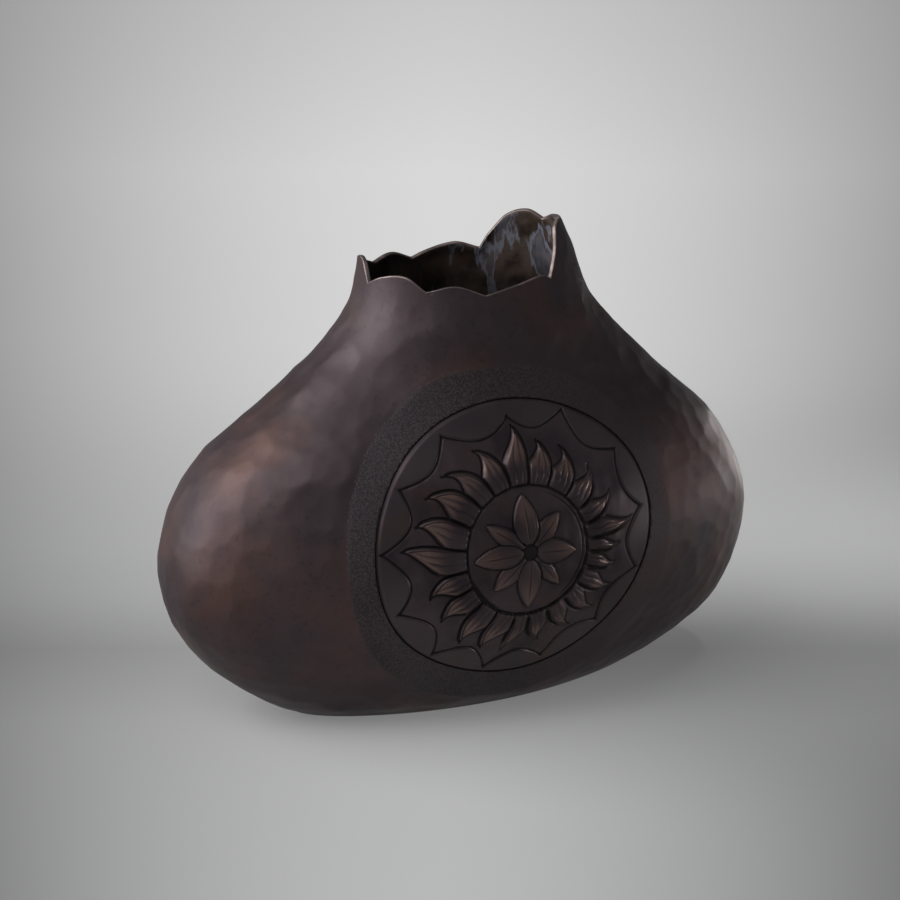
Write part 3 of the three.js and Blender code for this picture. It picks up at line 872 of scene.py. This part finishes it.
class Look:
    """A material, with short ways to add the few kinds of node that are used here."""

    def __init__(self, name, roughness, metallic):
        self.material = bpy.data.materials.new(name)
        self.material.use_nodes = True
        self.nodes = self.material.node_tree.nodes
        self.links = self.material.node_tree.links
        self.shader = self.nodes["Principled BSDF"]
        self.feed("Roughness", roughness)
        self.feed("Metallic", metallic)

    def join(self, socket, value):
        """Links a node's output to a socket, or sets a plain value on it."""
        if isinstance(value, bpy.types.NodeSocket):
            self.links.new(value, socket)
        else:
            socket.default_value = value

    def feed(self, name, value):
        """Joins a value to one of the shader's own sockets."""
        self.join(self.shader.inputs[name], value)

    def new(self, kind, **values):
        """A new node, with values or other nodes' outputs on its named inputs."""
        made = self.nodes.new("ShaderNode" + kind)
        for name, value in values.items():
            self.join(made.inputs[name.replace("_", " ")], value)
        return made

    def mix(self, factor, first, second):
        """Mixes two colours, given as outputs or as they are seen on a screen."""
        made = self.new("Mix")
        made.data_type = "RGBA"
        self.join(made.inputs["Factor"], factor)
        for socket, value in zip(made.inputs[6:8], (first, second)):
            self.join(socket, colour(*value) if isinstance(value, tuple) else value)
        return made.outputs[2]

    def ramp(self, value, low, high, start=0.0, end=1.0):
        """Turns a value from low to high softly into one from start to end."""
        made = self.new("MapRange", Value=value, From_Min=low, From_Max=high, To_Min=start, To_Max=end)
        made.interpolation_type = "SMOOTHSTEP"
        return made.outputs["Result"]

    def noise(self, scale, detail, seed, stretch=(1, 1, 1)):
        """Cloudy noise fixed to the vase, with about the given number of clouds to a metre."""
        place = self.new("TexCoord").outputs["Object"]
        shift = self.new("Mapping", Vector=place, Location=(seed, seed * 0.7, -seed), Scale=stretch)
        made = self.new("TexNoise", Vector=shift.outputs["Vector"], Scale=scale, Detail=detail)
        return made.outputs["Fac"]

    def attribute(self, name):
        made = self.new("Attribute")
        made.attribute_name = name
        return made.outputs["Fac"]

    def along(self, axis):
        """How far along an axis of the object a place is, in metres."""
        return self.new("SeparateXYZ", Vector=self.new("TexCoord").outputs["Object"]).outputs[axis]

    def maths(self, kind, first, second=0.0):
        made = self.new("Math")
        made.operation = kind
        self.join(made.inputs[0], first)
        self.join(made.inputs[1], second)
        return made.outputs["Value"]

    def bump(self, height, strength, distance, before=None):
        """Gives the shader a bumpy face, over an earlier bump where there is one."""
        made = self.new("Bump", Height=height, Strength=strength, Distance=distance)
        if before is not None:
            self.join(made.inputs["Normal"], before)
        self.feed("Normal", made.outputs["Normal"])
        return made.outputs["Normal"]


def outside_material():
    """Purplish brown patina, cloudy and speckled, and the matt band round the medallion."""
    look = Look("patinated_copper", 0.5, 0.55)
    clouds = look.ramp(look.noise(11, 4, 3.1), 0.36, 0.66)
    warm = look.ramp(look.noise(17, 6, 8.4), 0.42, 0.68)
    base = look.mix(clouds, (56, 44, 48), (72, 60, 64))
    base = look.mix(warm, base, (86, 63, 58))
    tone = look.ramp(look.attribute("tone"), 0, 1, 0.0, 0.35)
    base = look.mix(tone, base, (56, 46, 50))
    speckle = look.ramp(look.noise(420, 2, 1.2), 0.56, 0.72, 0, 0.35)
    base = look.mix(speckle, base, (42, 34, 37))
    grain = look.noise(1100, 2, 6.3)
    ragged = look.maths("MULTIPLY", look.maths("SUBTRACT", grain, 0.5), 5.0)
    inside = look.ramp(look.maths("ADD", look.attribute("band"), ragged), -0.7, 0.7)
    weight = look.ramp(look.along("X"), 0.075, -0.01, 0.3, 1.0)
    band = look.maths("MULTIPLY", inside, weight)
    sand = look.ramp(grain, 0.35, 0.65)
    matt = look.mix(sand, (40, 33, 37), (66, 58, 62))
    band_colour = look.maths("MULTIPLY", band, 0.9)
    look.feed("Base Color", look.mix(band_colour, base, matt))
    rough = look.ramp(look.noise(26, 4, 5.5), 0.3, 0.7, 0.44, 0.58)
    band_rough = look.maths("MULTIPLY", band, 0.22)
    look.feed("Roughness", look.maths("ADD", rough, band_rough))
    metallic = look.maths("SUBTRACT", 0.55, look.maths("MULTIPLY", band, 0.3))
    look.feed("Metallic", metallic)
    fine = look.bump(look.noise(900, 3, 2.2), 0.1, 0.0002)
    sandy = look.maths("MULTIPLY", grain, band)
    look.bump(sandy, 0.5, 0.0004, fine)
    return look.material


def inside_material():
    """Nearly black brown with green-brown patches, a paler wash high on the right that is painted light on
    the inner face there, and pale, bluish runs down the wall in that place.
    """
    look = Look("inside_patina", 0.55, 0.4)
    patches = look.ramp(look.noise(30, 5, 4.2), 0.4, 0.68)
    base = look.mix(patches, (34, 27, 25), (70, 58, 47))
    mottle = look.ramp(look.noise(150, 6, 1.7), 0.42, 0.62, 0, 0.55)
    base = look.mix(mottle, base, (30, 24, 24))
    warm = look.ramp(look.noise(55, 5, 7.9), 0.52, 0.7, 0, 0.5)
    base = look.mix(warm, base, (104, 78, 62))
    # Painted light: paler high on the right, where light falls on the inside of the lobe; the runs keep to
    # the same place
    to_right = look.ramp(look.along("X"), 0.0, 0.04, 0.06, 1)
    high = look.ramp(look.along("Z"), 0.175, 0.215, 0.12, 1)
    wear_and_painted_light = look.maths("MULTIPLY", to_right, high)
    uneven = look.ramp(look.noise(80, 6, 3.3), 0.34, 0.62, 0.1, 0.95)
    base = look.mix(look.maths("MULTIPLY", wear_and_painted_light, uneven), base, (122, 106, 98))
    field = look.noise(75, 8, 9.3, (1, 1, 0.09))
    away = look.maths("ABSOLUTE", look.maths("SUBTRACT", field, 0.53))
    veins = look.ramp(away, 0.03, 0.002, 0, 0.7)
    haze = look.ramp(field, 0.5, 0.64, 0, 0.45)
    runs = look.maths("MULTIPLY", look.maths("MAXIMUM", veins, haze), wear_and_painted_light)
    base = look.mix(runs, base, (176, 180, 198))
    look.feed("Base Color", base)
    look.bump(look.noise(160, 5, 6.1), 0.35, 0.0005)
    return look.material


def edge_material():
    """The mouth's edge, which rubbing has taken to a dull pinkish brown."""
    look = Look("rubbed_edge", 0.42, 0.6)
    wear_and_painted_light = look.ramp(look.noise(90, 4, 2.7), 0.4, 0.65)
    base = look.mix(wear_and_painted_light, (92, 80, 80), (142, 126, 122))
    look.feed("Base Color", base)
    look.bump(look.noise(500, 3, 7.2), 0.2, 0.0003)
    return look.material


def chased_material():
    """Dark ground, browner raised work whose crests are lighter, partly from rubbing and partly as a painted
    highlight, and black-brown chased lines, darkened partly as patina and partly as painted shade.
    """
    look = Look("chased_copper", 0.45, 0.6)
    clouds = look.ramp(look.noise(40, 4, 6.6), 0.38, 0.66)
    base = look.mix(clouds, (50, 40, 45), (70, 58, 62))
    grey = look.ramp(look.attribute("field"), 0.3, 1.0, 0, 0.6)
    base = look.mix(grey, base, (68, 60, 63))
    stain = look.ramp(look.noise(55, 5, 2.9), 0.5, 0.7, 0, 0.5)
    base = look.mix(stain, base, (74, 56, 52))
    # Lighter colour on the crests: partly rubbed copper, partly a painted highlight
    rubbed_and_highlit = look.ramp(look.attribute("rubbed_and_highlit"), 0.05, 1.0, 0, 0.8)
    base = look.mix(rubbed_and_highlit, base, (120, 96, 87))
    # Dark chased lines: patina in them and painted shade
    dark = look.ramp(look.attribute("dark"), 0.05, 0.75, 0, 0.93)
    base = look.mix(dark, base, (22, 15, 18))
    look.feed("Base Color", base)
    even = look.ramp(look.attribute("rubbed_and_highlit"), 0.0, 0.8, 0.45, 0.27)
    rough = look.maths("ADD", even, look.maths("MULTIPLY", dark, 0.3))
    look.feed("Roughness", rough)
    look.bump(look.noise(700, 3, 3.9), 0.15, 0.0002)
    return look.material


def plain_material(name, dark, light, roughness):
    look = Look(name, roughness, 0.5)
    patches = look.ramp(look.noise(70, 5, 1.9), 0.35, 0.65)
    look.feed("Base Color", look.mix(patches, dark, light))
    look.bump(look.noise(300, 4, 4.4), 0.25, 0.0004)
    return look.material


# The stage and the light, in metres

# How light the paper is: metres back from the vase, and its grey on a screen; the greys paint the light's
# falloff from a bright middle, and the dip at 0.036 is a painted shade line
PAPER_GREYS = [
    (-0.24, 194), (-0.06, 192), (0.036, 174), (0.12, 196), (0.2, 203),
    (0.7, 214), (1.36, 216), (1.8, 200), (2.6, 120), (4.5, 70),
]
# How much darker the paper is this far to the side, as a share of the way from the camera, and how light it
# stays at the least; this darkening is painted falloff of the light; then how far in front of the vase the
# camera stands
SIDE_DARKENING = 0.325
SIDE_REACH = 0.16
PAPER_LEAST = 0.4
CAMERA_BACK = CAMERA_DISTANCE * MM * math.cos(CAMERA_RISE * DEGREE)
# How much of its own colour the paper shows near the vase, where the lamps and the shadow do the rest
GLOW_NEAR = 0.34

# The paper: how far it lies in front and behind, the radius of its turn, its top and its half width
STAGE_FRONT = 2.5
STAGE_BACK = 1.1
STAGE_TURN = 0.9
STAGE_TOP = 4.0
STAGE_WIDTH = 6.0
STAGE_STEPS = 16

# The height of the vase's middle, which the lamps face, and of the low beams
LAMP_AIM = 0.11
BEAM_AIM = 0.05


def paper_colour(look):
    """Pale paper with a soft, darker line of painted shade where the table ends, and painted falloff of the
    light that darkens it towards its sides and high up the wall.
    """
    across, back, up = (look.along(axis) for axis in "XYZ")
    along = look.maths("ADD", back, up)
    low, high = PAPER_GREYS[0][0], PAPER_GREYS[-1][0]
    share = look.maths("DIVIDE", look.maths("SUBTRACT", along, low), high - low)
    greys = look.new("ValToRGB", Fac=share)
    stops = greys.color_ramp.elements
    for place, _ in PAPER_GREYS[1:-1]:
        stops.new((place - low) / (high - low))
    for stop, (_, grey) in zip(stops, PAPER_GREYS):
        stop.color = colour(grey, grey, grey)
    wide = look.maths("ABSOLUTE", across)
    side = look.maths("DIVIDE", wide, look.maths("ADD", along, CAMERA_BACK))
    side = look.maths("POWER", look.maths("DIVIDE", side, SIDE_REACH), 1.6)
    keep = look.maths("SUBTRACT", 1.0, look.maths("MULTIPLY", side, SIDE_DARKENING))
    keep = look.maths("MAXIMUM", keep, PAPER_LEAST)
    return look.mix(keep, (0, 0, 0), greys.outputs["Color"]), along, wide


def blend_shaders(tree, share, first, second, output):
    """Gives an output node two shaders, the second one by a share."""
    both = tree.nodes.new("ShaderNodeMixShader")
    for socket, value in zip(both.inputs, (share, first, second)):
        tree.links.new(value, socket)
    tree.links.new(both.outputs["Shader"], output.inputs["Surface"])


def paper_material():
    """Paper that is lit by the lamps near the vase and shows its own colour far from it, a colour in which
    the light's falloff is painted.
    """
    look = Look("backdrop_paper", 0.9, 0.0)
    look.feed("Specular IOR Level", 0.1)
    paper, along, wide = paper_colour(look)
    look.feed("Base Color", paper)
    glow = look.new("Emission", Color=paper)
    path = look.new("LightPath")
    seen = look.maths("MAXIMUM", path.outputs["Is Camera Ray"], path.outputs["Is Glossy Ray"])
    far_back = look.ramp(along, 0.12, 0.6, GLOW_NEAR, 1.0)
    far_side = look.ramp(wide, 0.3, 0.8, GLOW_NEAR, 1.0)
    far = look.maths("MAXIMUM", far_back, far_side)
    share = look.maths("MULTIPLY", seen, far)
    shaders = look.shader.outputs["BSDF"], glow.outputs["Emission"]
    blend_shaders(look.material.node_tree, share, *shaders, look.nodes["Material Output"])
    return look.material


def make_stage():
    """A pale floor that turns up into a wall behind, square to the camera."""
    line = [(-STAGE_FRONT, 0.0)]
    for k in range(STAGE_STEPS + 1):
        a = k / STAGE_STEPS * math.pi / 2
        line.append((STAGE_BACK + STAGE_TURN * math.sin(a), STAGE_TURN * (1 - math.cos(a))))
    line.append((STAGE_BACK + STAGE_TURN, STAGE_TOP))
    vertices = [(x, y, z) for y, z in line for x in (-STAGE_WIDTH, STAGE_WIDTH)]
    faces = [(2 * i, 2 * i + 1, 2 * i + 3, 2 * i + 2) for i in range(len(line) - 1)]
    mesh = bpy.data.meshes.new("backdrop")
    mesh.from_pydata(vertices, [], faces)
    mesh.polygons.foreach_set("use_smooth", [True] * len(faces))
    mesh.materials.append(paper_material())
    backdrop = add_object("backdrop", mesh)
    backdrop.rotation_euler.z = CAMERA_TURN * DEGREE


def make_lamp(name, size, power, spread=180.0):
    """A rectangular lamp that shines straight down until it is turned."""
    data = bpy.data.lights.new(name, "AREA")
    data.shape = "RECTANGLE"
    data.size, data.size_y = size
    data.energy = power
    data.spread = spread * DEGREE
    return add_object(name, data)


def face_vase(lamp, turn, rise, distance, height=LAMP_AIM):
    """Places a lamp in a direction from the vase, facing the vase's axis at a height."""
    towards = direction(turn, rise)
    lamp.location = Vector((0, 0, height)) + towards * distance
    lamp.rotation_euler = towards.to_track_quat("Z", "Y").to_euler()


def make_lights():
    face_vase(make_lamp("key", (1.4, 1.4), 29), -107, 27, 1.5)
    face_vase(make_lamp("upper_left", (0.8, 0.8), 6), -62, 58, 1.8)
    for name, turn, power in (("right_low", 72, 0.03), ("right_edge", 116, 0.06)):
        face_vase(make_lamp(name, (0.4, 0.12), power, spread=12), turn, 0, 1.3, BEAM_AIM)
    make_lamp("floor_right", (0.5, 0.5), 8, spread=38).location = (0.72, -0.18, 1.2)


def make_world():
    """Soft light from all round, and plain pale grey where the camera looks past the paper."""
    world = bpy.data.worlds.new("studio")
    world.use_nodes = True
    nodes = world.node_tree.nodes
    soft = nodes["Background"]
    soft.inputs["Color"].default_value = (0.62, 0.64, 0.66, 1)
    soft.inputs["Strength"].default_value = 0.36
    pale = nodes.new("ShaderNodeBackground")
    pale.inputs["Color"].default_value = colour(190, 190, 190)
    path = nodes.new("ShaderNodeLightPath")
    shaders = soft.outputs["Background"], pale.outputs["Background"]
    blend_shaders(world.node_tree, path.outputs["Is Camera Ray"], *shaders, nodes["World Output"])
    bpy.context.scene.world = world


# Putting it together

def cut_round_hole(piece):
    """Takes the medallion's place out of the front half."""
    count = 192
    angle = np.arange(count) * 2 * math.pi / count
    x, height = medallion_place(edge_radius(angle) + CLEARANCE, angle)
    rings = [np.stack([x, np.full(count, y), height], -1) for y in (HOLE_FROM, HOLE_TO)]
    sides = [(i, count + i, count + (i + 1) % count, (i + 1) % count) for i in range(count)]
    caps = [list(range(count)), list(range(count, 2 * count))[::-1]]
    plug = mesh_object("plug", np.concatenate(rings), sides + caps)
    cut = piece.modifiers.new("hole", "BOOLEAN")
    cut.operation = "DIFFERENCE"
    cut.solver = "MANIFOLD"
    cut.object = plug
    bpy.context.view_layer.update()
    evaluated = piece.evaluated_get(bpy.context.evaluated_depsgraph_get())
    mesh = bpy.data.meshes.new_from_object(evaluated)
    piece.modifiers.clear()
    old = piece.data
    piece.data = mesh
    bpy.data.meshes.remove(old)
    bpy.data.objects.remove(plug)
    mend_cut_edge(piece)


def join_normals(front, back):
    """Gives both halves the same normals where they meet, so that no line shows there."""
    found = {}
    for piece in (front, back):
        mesh = piece.data
        sums = np.zeros((len(mesh.vertices), 3))
        for polygon in mesh.polygons:
            if polygon.use_smooth:
                for corner in polygon.vertices:
                    if abs(mesh.vertices[corner].co.y) < SEAM_TOUCH:
                        sums[corner] += np.array(polygon.normal) * polygon.area
        for corner in np.flatnonzero(np.abs(sums).sum(1)):
            key = tuple(round(c / SEAM_TOUCH) for c in mesh.vertices[int(corner)].co)
            found.setdefault(key, []).append((piece, int(corner), sums[corner]))
    normals = {piece.name: np.zeros((len(piece.data.vertices), 3)) for piece in (front, back)}
    for meeting in found.values():
        total = sum(value for _, _, value in meeting)
        total /= np.linalg.norm(total)
        for piece, corner, _ in meeting:
            normals[piece.name][corner] = total
    for piece in (front, back):
        piece.data.normals_split_custom_set_from_vertices(normals[piece.name].tolist())


def mend_cut_edge(piece):
    """Gives the new points on the hole's edge the wall's own values, which the cut leaves at 0."""
    count = len(piece.data.vertices)
    places = np.empty(count * 3, np.float32)
    piece.data.vertices.foreach_get("co", places)
    places = places.reshape(-1, 3) / MM
    radius, around = medallion_polar(places[:, 0], places[:, 2])
    beyond = radius - edge_radius(around)
    on_edge = (places[:, 1] < HOLE_TO) & (np.abs(beyond - CLEARANCE) < 0.2)
    for name, value in (("band", band_edge(np.degrees(around) % 360) - radius), ("tone", 0.5)):
        attribute = piece.data.attributes[name].data
        values = np.empty(count, np.float32)
        attribute.foreach_get("value", values)
        attribute.foreach_set("value", np.where(on_edge, value, values).astype(np.float32))


def main():
    bpy.context.scene.view_settings.view_transform = "Standard"
    make_camera()
    make_stage()
    make_lights()
    make_world()
    outside, edge, inside = outside_material(), edge_material(), inside_material()
    chased = chased_material()
    floor = plain_material("base_copper", (40, 33, 33), (62, 52, 50), 0.6)
    braze = plain_material("braze", (62, 52, 40), (92, 78, 56), 0.55)
    wall_materials = [outside, edge, inside]
    front = half_wall("front_wall", math.pi, 2 * math.pi, wall_materials)
    cut_round_hole(front)
    back = half_wall("back_wall", 0.0, math.pi, wall_materials)
    join_normals(front, back)
    medallion = make_medallion(chased, inside)
    for piece, cad, slot in (
        (front, "front_shell", "patinated_copper"),
        (back, "back_shell", "patinated_copper"),
        (medallion, "medallion_disc", "chased_copper"),
    ):
        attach(piece, "root")
        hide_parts(cad)
    own = {"front_shell": outside, "back_shell": outside, "medallion_disc": chased, "base_plate": floor}
    for name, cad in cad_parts.items():
        cad.data.materials.clear()
        cad.data.materials.append(own.get(name, braze))


main()
